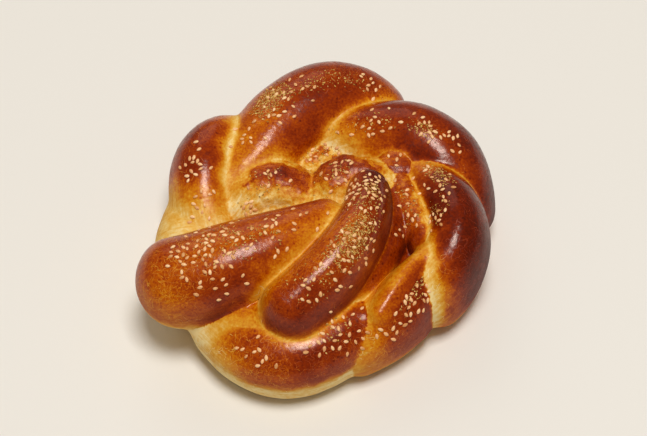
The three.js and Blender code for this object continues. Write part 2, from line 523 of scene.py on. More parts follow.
STRANDS = {
    # The ring, clockwise from the left
    "left": Strand(
        (-45, 50, 22), (-59.5, 35, 28), (-58, 2, 18), (16, 18, 18), (20, 24, 20),
        right=(0.5, 0.7, 0.18), top=(0.22, 0.74, 0.14), left=(0.2, 0.8, 0.16), rim=(0.1, 6, 17),
        under={"back": (4.5, 0.06), "leftEnd": (2.0, 0.05), "frontLeft": (7.0, 0.1)}),
    "back": Strand(
        (-45, 24, 23), (-10, 67, 31), (22, 72, 24), (20, 24, 20), (22, 26, 22),
        right=(0.36, 0.82, 0.5), top=(0.34, 0.66, 0.66), left=(0.3, 0.66, 0.6),
        under={"innerLeft": (3.0, 0.2), "innerTop": (2.0, 0.2), "left": (2.0, 0.1),
               "backRight": (3.5, 0.28)}),
    "backRight": Strand(
        (6, 51, 22), (47, 44, 31), (64, 18, 18), (17, 22, 20), (22, 26, 22),
        right=(-0.45, 0.84, 0.76), top=(0.58, 0.7, 0.5), left=(0.5, 0.92, 1.0),
        under={"back": (5.0, 0.22), "innerBack": (2.5, 0.02), "innerKnob": (2.0, 0.06),
               "innerTop": (3.0, 0.0)}),
    "right": Strand(
        (49, 20, 24), (62.5, -11, 31), (50, -36, 20), (16, 17, 15), (24, 26, 22),
        right=(0.46, 0.92, 0.5), top=(0.84, 0.88, 0.42), left=(0.16, 1.0, 0.7), rim=(0.32, 6, 18),
        under={"backRight": (7.0, 0.24), "innerFarRight": (2.0, 0.0), "innerFront": (4.0, 0.0),
               "frontRight": (7.0, 0.0)}),
    "frontRight": Strand(
        (44, -34, 25), (33, -48, 25), (12, -61, 18), (9, 16, 16), (18, 17, 15),
        right=(0.5, 0.22, 0.24), top=(0.86, 0.66, 0.62), left=(0.9, 0.76, 0.56), rim=(0.22, 6, 15),
        under={"front": (6.0, 0.26), "innerFront": (0.6, 0.9)}),
    "front": Strand(
        (12, -56, 22), (-21, -69.5, 21), (-46, -52, 19), (16, 19, 18), (17, 17, 15),
        right=(0.7, 0.7, -0.1), top=(0.9, 0.9, 0.06), left=(0.66, 0.6, 0.0), rim=(0.04, 15, 23),
        under={"frontEnd": (5.0, 0.18), "leftEnd": (5.0, 0.06), "frontFold": (2.0, 0.14)}),
    "frontLeft": Strand(
        (-63, 9, 18), (-63, -20, 18), (-46, -45, 18), (19, 20, 16), (18, 18, 18), pulled_across=True,
        right=(0.1, 0.12, 0.1), top=(0.1, 0.12, 0.1), left=(0.1, 0.12, 0.1)),
    # The ends of the braid, one across the other
    "leftEnd": Strand(
        (-1, -15, 48), (-37, -33, 46), (-71, -40, 37), (13, 20, 22), (15, 20, 22), (20, 22, 21),
        right=(0.92, 0.58, 0.54), top=(0.54, 0.49, 0.58), left=(0.42, 0.84, 0.44), rim=(0.06, 23, 35),
        under={"frontEnd": (8.0, 0.22)}),
    "frontEnd": Strand(
        (20, 1, 49), (11, -30, 50), (-16, -58, 40), (11, 14, 15.5), (17, 20, 20), (20, 22, 20),
        right=(0.3, 0.62, 0.1), top=(0.98, 0.56, 0.72), left=(1.0, 0.7, 0.82),
        under={"front": (4.0, 0.34), "leftEnd": (2.0, 0.3)}),
    # The dough drawn out under the two ends, where they cross
    "frontFold": Strand(
        (-58, -52, 22), (-40, -57, 31), (-24, -58, 36), (9, 9, 8), (8, 8, 7), melts=True,
        right=(0.0, 0.12, 0.4), top=(0.0, 0.46, 0.5), left=(0.0, 0.46, 0.5), pulled_across=True,
        under={"front": (2.0, 0.2), "frontEnd": (2.0, 0.12)}),
    # The inner turns of the braid, which show between the ring and the two ends
    "innerLeft": Strand(
        (-44, 9, 31), (-29, 17, 37), (-12, 14, 36), (11, 14, 12), (9, 11, 9), skin=Skin.LUMPY,
        right=(0.12, 0.04, 0.0), top=(-0.3, 0.8, 0.6), left=(0.16, 0.26, 0.2),
        under={"leftEnd": (3.0, 0.06)}),
    "innerBack": Strand(
        (-3, 6, 34), (9, 19, 38), (26, 15, 36), (11, 13, 12), (9, 13, 12), skin=Skin.LUMPY,
        right=(0.0, 0.28, 0.14), top=(-0.05, 0.72, 0.28), left=(0.5, 0.5, 0.16),
        under={"frontEnd": (2.0, 0.2), "innerKnob": (1.4, 0.2), "leftEnd": (3.0, 0.1)}),
    "innerTop": Strand(
        (-20, 33, 27), (-3, 40, 30), (14, 37, 29), (8, 10, 8), (8, 9, 8), skin=Skin.TORN,
        right=(0.3, 0.36, 0.5), top=(0.36, 0.56, 0.66), left=(0.36, 0.56, 0.66),
        under={"back": (1.4, 0.22), "backRight": (0.8, 0.3)}),
    "innerRight": Strand(
        (24, 10, 36), (22, -20, 38), (4, -46, 32), (13, 14, 12), (10, 13, 12),
        right=(0.6, 0.74, 0.54), top=(0.6, 0.74, 0.54), left=(0.66, 0.74, 0.54),
        under={"frontEnd": (0.6, 0.6), "innerFront": (1.5, 0.3), "innerFarRight": (0.6, 0.6),
               "front": (3.5, 0.08), "frontRight": (2.0, 0.1)}),
    "innerKnob": Strand(
        (31, 27, 40), (34, 26, 42), (37, 22, 40), (6, 7, 6), (6, 7, 6), skin=Skin.LUMPY, melts=True,
        right=(0.4, 0.66, 0.8), top=(0.34, 0.66, 0.84), left=(0.3, 0.5, 0.7)),
    "innerFarRight": Strand(
        (37, 14, 39), (43, -5, 39), (52, -23, 38), (8, 9, 8), (8, 9, 8), skin=Skin.LUMPY,
        right=(0.58, 0.76, 0.6), top=(0.6, 0.4, 0.84), left=(0.5, 0.4, 0.7),
        under={"right": (1.6, 0.1), "innerFront": (1.5, 0.25), "innerRight": (0.6, 0.6)}),
    "innerFront": Strand(
        (51, -25, 39), (37, -40.5, 40), (25, -58, 35.5), (4.5, 6, 5), (8, 8, 7), melts=True,
        right=(0.36, 0.36, 0.26), top=(0.28, 0.38, 0.34), left=(0.6, 0.74, 0.5),
        under={"right": (2.0, 0.06), "frontRight": (0.6, 0.9)}),
    # The dough that fills the middle, and the flat sole that it baked on
    "heart": Strand(
        (0, 36, 17), (0, -8, 18), (0, -46, 14), (46, 52, 50), (18, 24, 18), skin=Skin.TORN,
        right=(0.12, 0.4, 0.4), top=(0.12, 0.4, 0.4), left=(0.12, 0.74, 0.74),
        under={"innerRight": (0.6, 0.6), "innerFront": (0.6, 0.6), "innerFarRight": (0.6, 0.6)}),
    "sole": Strand(
        (2, 52, 6), (0, 0, 7), (-6, -54, 6), (40, 64, 34), (8, 10, 8),
        right=(0.3, 0.3, 0.3), top=(0.3, 0.3, 0.3), left=(0.3, 0.3, 0.3)),
}


@dataclass(frozen=True)
class CrustFinish:
    """Egg-washed crust of an enriched bread, baked.

    The glaze is a thin glossy film over browned dough. Where strands pulled apart in the oven there is no
    glaze, and the dough shows matt and pale. Brown runs from cream through gold and orange to a dark
    red-brown.

    A name that ends in mm tells how far apart the features of a texture are, or how high they stand, and one
    in brown or pale how much they change the browning. Spans give the texture's values between which a
    feature fades.
    """

    name: str = "egg_washed_crust"
    browning: Stops = (
        (0.00, "#efd594"),
        (0.12, "#e4b659"),
        (0.24, "#d89722"),
        (0.36, "#cb7606"),
        (0.48, "#b55400"),
        (0.60, "#9b3800"),
        (0.72, "#842700"),
        (0.85, "#6a1900"),
        (1.00, "#4e0f00"),
    )
    blotch_mm: float = 13.0
    blotch_brown: float = 0.07
    mottle_mm: float = 2.2
    mottle_brown: float = 0.06
    crumb_brown: float = 0.12
    grain_mm: float = 1.1
    grain_brown: float = 0.06
    hair_mm: float = 3.4
    hair_pale: float = 0.2
    hair_edge: Span = (0.006, 0.046)
    hair_gaps: Span = (0.38, 0.5)
    blister_mm: float = 2.3
    blister_brown: float = 0.22
    blister_edge: Span = (0.14, 0.34)
    blister_burst: Span = (0.5, 0.6)
    blister_patch: Span = (0.42, 0.54)
    streak_mm: float = 1.6
    streak_length_mm: float = 9.0
    streak_brown: float = 0.075
    pore_mm: float = 2.0
    relief_mm: float = 0.15
    relief_strength: float = 0.5
    grain_height: float = 0.4
    streak_height: float = 4.0
    crumb_height: float = 5.0
    glazed_roughness: float = 0.16
    bare_roughness: float = 0.6
    patchy_roughness: Span = (-0.03, 0.1)
    gloss: str = "#fff0e2"
    ior: float = 1.36

    def hairs(self, tree: Tree, place: Socket, mottle: Socket, craze: Socket) -> Socket:
        """Draw fine hairs, where the glaze crazed as the loaf rose.

        Args:
            tree: the material's node tree.
            place: where a point lies.
            mottle: the noise that breaks the hairs up.
            craze: how crazed the glaze is.

        Returns:
            How much paler the crust is.
        """
        swirl = noise_node(tree, place, self.hair_mm, detail=1.0, distortion=1.6)
        crossing = calculate(tree, "ABSOLUTE", calculate(tree, "SUBTRACT", swirl, NOISE_MIDDLE))
        hair = ranged(tree, crossing, self.hair_edge, (self.hair_pale, 0.0))
        whole = ranged(tree, mottle, self.hair_gaps, (0.0, 1.0))
        return combine(tree, "MULTIPLY", hair, whole, craze)

    def specks(self, tree: Tree, place: Socket, blotch: Socket, glaze: Socket) -> Socket:
        """Strew specks of burst blisters, in patches.

        Args:
            tree: the material's node tree.
            place: where a point lies.
            blotch: the noise that sets the patches.
            glaze: how thick the glaze is.

        Returns:
            How much darker the crust is.
        """
        blister = add_node(tree, "ShaderNodeTexVoronoi", {
            "Vector": place, "Scale": per_metre(self.blister_mm)}).outputs
        chance = add_node(tree, "ShaderNodeSeparateColor", {"Color": blister["Color"]}).outputs["Red"]
        burst = ranged(tree, chance, self.blister_burst, (0.0, self.blister_brown))
        spot = ranged(tree, blister["Distance"], self.blister_edge, (1.0, 0.0))
        patch = ranged(tree, blotch, self.blister_patch, (1.0, 0.0))
        return combine(tree, "MULTIPLY", burst, spot, patch, glaze)

    def streaks(self, tree: Tree, glaze: Socket) -> Socket:
        """Streak bare dough along its fibres, where it stretched.

        Args:
            tree: the material's node tree.
            glaze: how thick the glaze is.

        Returns:
            How much darker the dough is, or paler below 0.
        """
        spun = add_node(tree, "ShaderNodeCombineXYZ", {
            "X": attribute(tree, "run"), "Y": attribute(tree, "girth")}).outputs[0]
        closeness = (1.0 / self.streak_length_mm, 1.0 / self.streak_mm, 0.0)
        stretched = add_node(tree, "ShaderNodeVectorMath", {0: spun, 1: closeness}, operation="MULTIPLY")
        streak = add_node(tree, "ShaderNodeTexNoise", {
            "Vector": stretched.outputs[0], "Scale": 1.0, "Detail": 3.0, "Roughness": 0.55}).outputs["Fac"]
        pulled = ranged(tree, streak, NOISE_SPAN, swing(self.streak_brown))
        return calculate(tree, "MULTIPLY", pulled, calculate(tree, "SUBTRACT", 1.0, glaze))

    def relief(self, tree: Tree, place: Socket, grain: Socket, streak: Socket,
               crumb: Socket) -> Socket:
        """Roughen the face with small dimples of the glaze, and with what lies under it.

        Args:
            tree: the material's node tree.
            place: where a point lies.
            grain: the noise of the crust's grain.
            streak: the streaks of bare dough.
            crumb: the noise of torn crumb.

        Returns:
            The normals.
        """
        height = add_node(tree, "ShaderNodeTexVoronoi", {
            "Vector": place, "Scale": per_metre(self.pore_mm)}, feature="SMOOTH_F1").outputs["Distance"]
        layers = ((grain, self.grain_height), (streak, self.streak_height), (crumb, self.crumb_height))
        for layer, share in layers:
            height = calculate(tree, "MULTIPLY_ADD", layer, share, height)
        return add_node(tree, "ShaderNodeBump", {
            "Height": height, "Distance": self.relief_mm * MM,
            "Strength": self.relief_strength}).outputs["Normal"]

    def material(self) -> bpy.types.Material:
        """The crust as a node material that reads the loaf's bake map.

        Returns:
            The material.
        """
        material, tree = new_material(self.name)
        place = add_node(tree, "ShaderNodeTexCoord").outputs["Object"]
        bake, glaze, craze, torn = (attribute(tree, name) for name in ("bake", "glaze", "craze", "torn"))
        blotch = noise_node(tree, place, self.blotch_mm, detail=3.0, roughness=0.55)
        mottle = noise_node(tree, place, self.mottle_mm, detail=4.0, roughness=0.62)
        grain = noise_node(tree, place, self.grain_mm, detail=2.0, roughness=0.6)
        streak = self.streaks(tree, glaze)
        uneven = ranged(tree, blotch, NOISE_SPAN, swing(self.blotch_brown))
        speckle = ranged(tree, mottle, NOISE_SPAN, swing(self.mottle_brown))
        rough_patch = ranged(tree, mottle, NOISE_SPAN, swing(self.crumb_brown))
        fleck = ranged(tree, grain, NOISE_SPAN, swing(self.grain_brown))
        brown = combine(
            tree, "ADD", bake, uneven, speckle, calculate(tree, "MULTIPLY", rough_patch, torn),
            calculate(tree, "MULTIPLY", fleck, glaze), self.specks(tree, place, blotch, glaze), streak)
        brown = calculate(tree, "SUBTRACT", brown, self.hairs(tree, place, mottle, craze))
        colour = add_node(tree, "ShaderNodeValToRGB", {"Fac": brown}, stops=self.browning)
        sheen = ranged(tree, glaze, (0.0, 1.0), (self.bare_roughness, self.glazed_roughness))
        patchy = ranged(tree, mottle, NOISE_SPAN, self.patchy_roughness)
        crumb = calculate(tree, "MULTIPLY", mottle, torn)
        add_surface(tree, {
            "Base Color": colour.outputs["Color"],
            "Roughness": calculate(tree, "ADD", sheen, patchy),
            "Normal": self.relief(tree, place, grain, streak, crumb),
            "IOR": self.ior,
            "Specular Tint": linear(self.gloss)})
        return material


@dataclass(frozen=True)
class ToppingFinish:
    """A dry topping baked on the crust, whose pieces range over a few shades.

    Hulled sesame toasts from ivory to tan with a waxy face. Crumbs of dried herb and spice are dull olive
    gold. Cracks have the crust's own shades.
    """

    name: str
    shades: Stops
    fleck_mm: float
    roughness: float
    fleck_shade: float = 0.15
    ior: float = 1.46

    def material(self) -> bpy.types.Material:
        """The topping's material, which reads the shade of each piece.

        Returns:
            The material.
        """
        material, tree = new_material(self.name)
        place = add_node(tree, "ShaderNodeTexCoord").outputs["Object"]
        fleck = noise_node(tree, place, self.fleck_mm, detail=2.0)
        uneven = ranged(tree, fleck, NOISE_SPAN, swing(self.fleck_shade))
        tint = calculate(tree, "ADD", attribute(tree, "shade"), uneven)
        colour = add_node(tree, "ShaderNodeValToRGB", {"Fac": tint}, stops=self.shades)
        add_surface(tree, {
            "Base Color": colour.outputs["Color"], "Roughness": self.roughness, "IOR": self.ior})
        return material


SESAME = ToppingFinish("toasted_sesame", ((0.0, "#f9d09a"), (0.5, "#ecb276"), (1.0, "#c88648")), 0.7, 0.42)
HERBS = ToppingFinish("dried_herb_crumbs", ((0.0, "#e8c476"), (0.5, "#c8963c"), (1.0, "#86602a")), 0.5, 0.7)
CRACKED = ToppingFinish("cracked_glaze", CrustFinish().browning, 1.2, 0.4)


@dataclass(frozen=True)
class TableFinish:
    """Plain pale surface with a soft satin face."""

    name: str = "pale_table"
    colour: str = "#e6e2d9"
    roughness: float = 0.65

    def material(self) -> bpy.types.Material:
        """The table's material.

        Returns:
            The material.
        """
        material, tree = new_material(self.name)
        add_surface(tree, {"Base Color": linear(self.colour), "Roughness": self.roughness})
        return material


@dataclass
class Loaf:
    """The braid as one baked piece.

    Some spans give the values between which a change comes on: of browning for tear, glazed and crazed, and
    of how far the skin looks up, from -1 to 1, for overhang, brushed and flank. seam is the width in
    millimetres and the browning of a stripe that a strand doesn't give.
    """

    strands: dict[str, Strand]
    finish: CrustFinish

    # The skin, which is left flat below sole_mm, and how the strands run together in it
    voxel_mm: float = 1.05
    crease_mm: float = 0.8
    melt_mm: float = 2.2
    far_mm: float = 20.0
    sole_mm: float = 0.3

    # Soft lumps, and crags and lips of skin where the dough tore, which die out towards the table
    swell: Waves = ((26.0, 0.5, 5.0), (8.0, 0.15, 9.0))
    crags: Waves = ((9.0, 2.4, 9.0), (4.5, 1.2, 4.5), (2.4, 0.5, 2.4))
    crag_blend_mm: float = 3.5
    lip_mm: float = 0.8
    foot_mm: float = 6.0

    # Pale stripes beside the strands that lie over another, with ragged edges
    seam: Span = (1.0, 0.3)
    stripe_edge: float = 1.5
    ragged: Waves = ((9.0, 0.45, 31.0), (3.5, 0.25, 37.0))

    # Torn dough, where tatters of brown skin lie on pale crumb
    tear: Span = (0.36, 0.54)
    tatter: Waves = ((6.5, 0.2, 43.0), (2.8, 0.14, 47.0))
    crumb_brown: float = 0.16
    skin_brown: float = 0.55
    crag_brown: float = 0.05

    # Unevenness of the oven, and what is pale because it is low or faces down
    uneven: Waves = ((20.0, 0.06, 3.0), (7.0, 0.045, 11.0))
    rim_wander_mm: float = 4.0
    overhang: Span = (-0.6, 0.0)
    overhang_pale: float = 0.7

    # Where the glaze is thick, and where it crazed
    glazed: Span = (0.1, 0.45)
    brushed: Span = (-0.2, 0.65)
    torn_glaze: float = 0.5
    crazed: Span = (0.35, 0.55)
    flank: Span = (0.35, 0.85)
    flank_craze: float = 0.7
    craze_patches: Waves = ((24.0, 1.0, 41.0),)
    craze_patch_edge: Span = (0.15, 0.4)

    def own_box(self) -> tuple[np.ndarray, np.ndarray]:
        """Box the strands above the table.

        Returns:
            The lowest and the highest corner, in millimetres in the braid's frame.
        """
        points = np.concatenate([strand.shell()[0] for strand in self.strands.values()])
        points = points[points[:, 2] >= 0.0]
        return points.min(axis=0), points.max(axis=0)

    def rough_skin(self) -> bpy.types.Mesh:
        """Melt all strands into one closed mesh of even squares.

        Returns:
            The mesh, in millimetres.
        """
        points, faces, count = [], [], 0
        for strand in self.strands.values():
            shell_points, shell_faces = strand.shell()
            points.append(shell_points)
            faces += [tuple(corner + count for corner in face) for face in shell_faces]
            count += len(shell_points)
        mesh = mesh_from("strands", np.concatenate(points), faces)
        strands = new_object("strands", mesh)
        remesh = strands.modifiers.new("melt", "REMESH")
        remesh.mode = "VOXEL"
        remesh.voxel_size = self.voxel_mm
        graph = bpy.context.evaluated_depsgraph_get()
        skin = bpy.data.meshes.new_from_object(strands.evaluated_get(graph))
        bpy.data.objects.remove(strands)
        bpy.data.meshes.remove(mesh)
        return skin

    def distances(self, points: np.ndarray) -> dict[str, tuple[np.ndarray, np.ndarray, np.ndarray]]:
        """Measure points against each strand.

        Args:
            points: places in millimetres.

        Returns:
            For each strand, the distance of each point, far_mm at most, and its t and angle.
        """
        found = {}
        for name, strand in self.strands.items():
            shell = strand.shell(sides=16, steps=12, ends=4)[0]
            low, high = shell.min(axis=0) - self.far_mm, shell.max(axis=0) + self.far_mm
            near = np.all((points > low) & (points < high), axis=1)
            away = np.full(len(points), self.far_mm)
            t, angle = np.zeros(len(points)), np.zeros(len(points))
            if near.any():
                away[near], t[near], angle[near] = strand.measure(points[near])
            found[name] = (np.minimum(away, self.far_mm), t, angle)
        return found

    def skin_distance(self, points: np.ndarray) -> np.ndarray:
        """Measure points against the loaf, with the strands blended softly in their creases.

        Args:
            points: places in millimetres.

        Returns:
            The distance of each from the skin, negative inside.
        """
        found = self.distances(points)
        parts = []
        for melts in (False, True):
            away = [found[name][0] for name, strand in self.strands.items() if strand.melts == melts]
            parts.append(blended(np.stack(away), self.crease_mm))
        return blended(np.stack(parts), self.melt_mm)

    def settle(self, points: np.ndarray, rounds: int = 2, probe_mm: float = 0.2, flattest: float = 0.25,
               stride_mm: float = 1.0) -> np.ndarray:
        """Move points onto the loaf's skin.

        Args:
            points: places near the skin, in millimetres.
            rounds: how often they are moved.
            probe_mm: the step that finds the slope of the distance from the skin.
            flattest: the least square of that slope that is believed.
            stride_mm: the longest move, where the slope is 1.

        Returns:
            The moved points.
        """
        for _ in range(rounds):
            here = self.skin_distance(points)
            probes = [self.skin_distance(points + probe_mm * axis) - here for axis in np.eye(3)]
            slope = np.stack(probes, axis=1) / probe_mm
            steep = np.maximum(np.sum(slope**2, axis=1), flattest)
            points = points - slope * np.clip(here / steep, -stride_mm, stride_mm)[:, None]
        return points

    def striped(self, name: str, shade: np.ndarray, away: np.ndarray, ragged: np.ndarray) -> np.ndarray:
        """Lighten a strand beside the strands that lie over it.

        Args:
            name: the strand.
            shade: browning of points on it.
            away: their distances from each strand, a row for each.
            ragged: how much wider the stripes are there than usual.

        Returns:
            The new browning.
        """
        for other, gap in zip(self.strands, away):
            if other != name and other not in FILLING:
                width, stripe = self.strands[name].under.get(other, self.seam)
                fade = np.exp(-(np.maximum(gap, 0.0) / (width * ragged)) ** self.stripe_edge)
                shade = mixed(shade, np.minimum(shade, stripe), fade)
        return shade

    def bake_map(self, points: np.ndarray, normals: np.ndarray) -> dict[str, np.ndarray]:
        """How brown, glazed, crazed and torn each point is, and where it lies on its strand.

        Args:
            points: places on the skin, in millimetres.
            normals: outward directions there.

        Returns:
            Browning, glaze, crazing and tearing from 0 to 1, and millimetres along the fibres and across.
        """
        found = self.distances(points)
        away = np.stack([beside[0] for beside in found.values()])
        own = np.argmin(away, axis=0)
        ragged = waves_at(points, self.ragged)
        tatter = waves_at(points, self.tatter)
        looks_up = normals[:, 2]
        hidden = self.overhang_pale * (1.0 - smooth_step(*self.overhang, looks_up))
        brown, run, girth = np.zeros((3, len(points)))
        for i, (name, strand) in enumerate(self.strands.items()):
            mine = own == i
            _, t, angle = (values[mine] for values in found[name])
            shade = self.striped(name, strand.browning(t, angle), away[:, mine], 1.0 + ragged[mine])
            skinned = smooth_step(*self.tear, shade + tatter[mine])
            split = mixed(self.crumb_brown, np.maximum(shade, self.skin_brown), skinned)
            shade = mixed(shade, split, strand.skin.value)
            rim, low, high = strand.rim
            foot = 1.0 - smooth_step(low, high, points[mine, 2] + self.rim_wander_mm * ragged[mine])
            brown[mine] = mixed(shade, np.minimum(shade, rim), np.maximum(foot, hidden[mine]))
            ways = [t * strand.length, angle * strand.side[1]]
            run[mine], girth[mine] = reversed(ways) if strand.pulled_across else ways
        torn = self.torn(away)
        brown += self.crag_brown * torn * waves_at(points, self.crags) + waves_at(points, self.uneven)
        brown = np.clip(brown, 0.0, 1.0)
        glaze = smooth_step(*self.glazed, brown) * smooth_step(*self.brushed, looks_up)
        glaze = glaze * (1.0 - self.torn_glaze * torn)
        flank = self.flank_craze * (1.0 - smooth_step(*self.flank, looks_up))
        patches = smooth_step(*self.craze_patch_edge, waves_at(points, self.craze_patches))
        craze = smooth_step(*self.crazed, brown) * np.maximum(flank, patches)
        return {"bake": brown, "glaze": glaze, "craze": craze, "torn": torn, "run": run, "girth": girth}

    def torn(self, away: np.ndarray) -> np.ndarray:
        """How craggy the dough is, from 0 to 1, at points with these distances from each strand."""
        share = np.exp(-(away - away.min(axis=0)) / self.crag_blend_mm)
        return np.array([strand.skin.value for strand in self.strands.values()]) @ share / share.sum(axis=0)

    def relief(self, points: np.ndarray, brown: np.ndarray, torn: np.ndarray) -> np.ndarray:
        """How far the dough swells out at each point, in millimetres, by how brown and torn it is."""
        tears = waves_at(points, self.crags) + self.lip_mm * smooth_step(*self.tear, brown)
        return (waves_at(points, self.swell) + torn * tears) * smooth_step(0.0, self.foot_mm, points[:, 2])

    def build(self, shift_mm: np.ndarray) -> bpy.types.Object:
        """The loaf's skin with its bake, placed in the row frame.

        Args:
            shift_mm: from the braid's frame to the row frame.

        Returns:
            The loaf.
        """
        mesh = self.rough_skin()
        points = vectors_of(mesh, "co")
        above = points[:, 2] > self.sole_mm
        points[above] = self.settle(points[above])
        points[:, 2] = np.maximum(points[:, 2], 0.0)
        mesh.vertices.foreach_set("co", points.ravel())
        mesh.update()
        normals = vectors_of(mesh, "normal")
        baked = self.bake_map(points, normals)
        points = points + normals * self.relief(points, baked["bake"], baked["torn"])[:, None]
        points[:, 2] = np.maximum(points[:, 2], 0.0)
        mesh.vertices.foreach_set("co", ((points + shift_mm) * MM).ravel())
        for name, values in baked.items():
            set_values(mesh, name, values)
        mesh.polygons.foreach_set("use_smooth", np.ones(len(mesh.polygons), dtype=bool))
        mesh.materials.clear()
        mesh.materials.append(self.finish.material())
        mesh.update()
        mesh.name = "crown_loaf"
        return new_object("crown_loaf", mesh)


@dataclass(frozen=True)
class Patch:
    """A stretch of a strand where a topping fell.

    It is given along the strand from 0 to 1, and round it in degrees, with 90 on top.
    """

    strand: str
    along: Span
    round: Span
    count: int

    def draw(self, random: Random) -> Span:
        """Pick a spot in the patch or a little past it.

        Args:
            random: the seeded random numbers.

        Returns:
            The spot along the strand and round it.
        """
        spot = []
        for low, high in (self.along, self.round):
            share = float(np.clip(random.normal(0.0, PATCH_SPREAD), -PATCH_REACH, PATCH_REACH))
            spot.append((low + high) / 2 + (high - low) / 2 * share)
        return spot[0], spot[1]


SEED_PATCHES = (
    Patch("left", (0.5, 0.75), (55, 100), 14),
    Patch("left", (0.75, 0.95), (45, 100), 12),
    Patch("back", (0.2, 0.52), (62, 120), 26),
    Patch("back", (0.05, 0.2), (80, 120), 8),
    Patch("back", (0.8, 0.95), (70, 100), 9),
    Patch("backRight", (0.05, 0.4), (50, 95), 15),
    Patch("backRight", (0.42, 0.62), (70, 95), 14),
    Patch("backRight", (0.6, 0.75), (85, 110), 6),
    Patch("right", (0.02, 0.38), (50, 105), 17),
    Patch("right", (0.4, 0.6), (35, 70), 10),
    Patch("frontRight", (0.2, 0.65), (85, 145), 18),
    Patch("frontRight", (0.55, 0.8), (110, 150), 8),
    Patch("front", (-0.05, 0.32), (80, 150), 26),
    Patch("front", (0.5, 0.8), (95, 145), 10),
    Patch("leftEnd", (0.5, 0.9), (50, 120), 46),
    Patch("leftEnd", (0.8, 0.95), (80, 110), 7),
    Patch("leftEnd", (0.5, 0.9), (115, 165), 14),
    Patch("leftEnd", (0.05, 0.55), (70, 130), 22),
    Patch("frontEnd", (0.0, 0.3), (40, 130), 38),
    Patch("frontEnd", (0.3, 0.62), (85, 150), 20),
    Patch("frontEnd", (0.55, 0.95), (85, 165), 28),
    Patch("innerLeft", (0.25, 0.8), (55, 95), 7),
    Patch("innerLeft", (0.0, 0.2), (30, 60), 7),
    Patch("innerBack", (0.2, 0.65), (50, 120), 15),
    Patch("innerFarRight", (0.0, 0.7), (50, 100), 8),
    Patch("innerKnob", (0.2, 0.8), (60, 110), 4),
    Patch("innerTop", (0.1, 0.9), (60, 120), 9),
    Patch("innerRight", (0.2, 0.5), (130, 160), 5),
)

HERB_PATCHES = (
    Patch("back", (0.25, 0.42), (90, 125), 420),
    Patch("back", (0.42, 0.85), (75, 100), 120),
    Patch("frontEnd", (0.36, 0.68), (85, 135), 520),
    Patch("frontEnd", (0.05, 0.4), (60, 130), 170),
    Patch("frontEnd", (0.65, 0.95), (80, 150), 70),
    Patch("right", (0.08, 0.28), (75, 105), 130),
    Patch("right", (0.3, 0.55), (40, 75), 50),
    Patch("backRight", (0.44, 0.6), (70, 90), 80),
    Patch("backRight", (0.05, 0.4), (60, 95), 50),
    Patch("leftEnd", (0.3, 0.75), (60, 120), 220),
    Patch("innerTop", (0.1, 0.9), (50, 130), 80),
    Patch("innerBack", (0.1, 0.7), (60, 120), 60),
    Patch("innerLeft", (0.1, 0.8), (40, 100), 60),
    Patch("innerFarRight", (0.0, 0.7), (40, 110), 60),
    Patch("frontRight", (0.2, 0.6), (90, 130), 60),
    Patch("front", (0.0, 0.3), (85, 130), 60),
)

CRACK_PATCHES = (
    Patch("leftEnd", (0.6, 1.25), (20, 175), 380),
    Patch("front", (0.35, 0.85), (110, 185), 170),
    Patch("front", (0.0, 0.4), (120, 185), 100),
    Patch("right", (0.25, 1.0), (95, 190), 260),
    Patch("backRight", (0.45, 1.0), (100, 185), 220),
    Patch("back", (0.5, 0.95), (75, 130), 160),
    Patch("back", (0.15, 0.95), (125, 190), 200),
    Patch("frontRight", (0.4, 0.95), (120, 185), 60),
    Patch("left", (0.1, 0.7), (-5, 80), 160),
    Patch("frontEnd", (0.6, 1.2), (30, 165), 110),
)


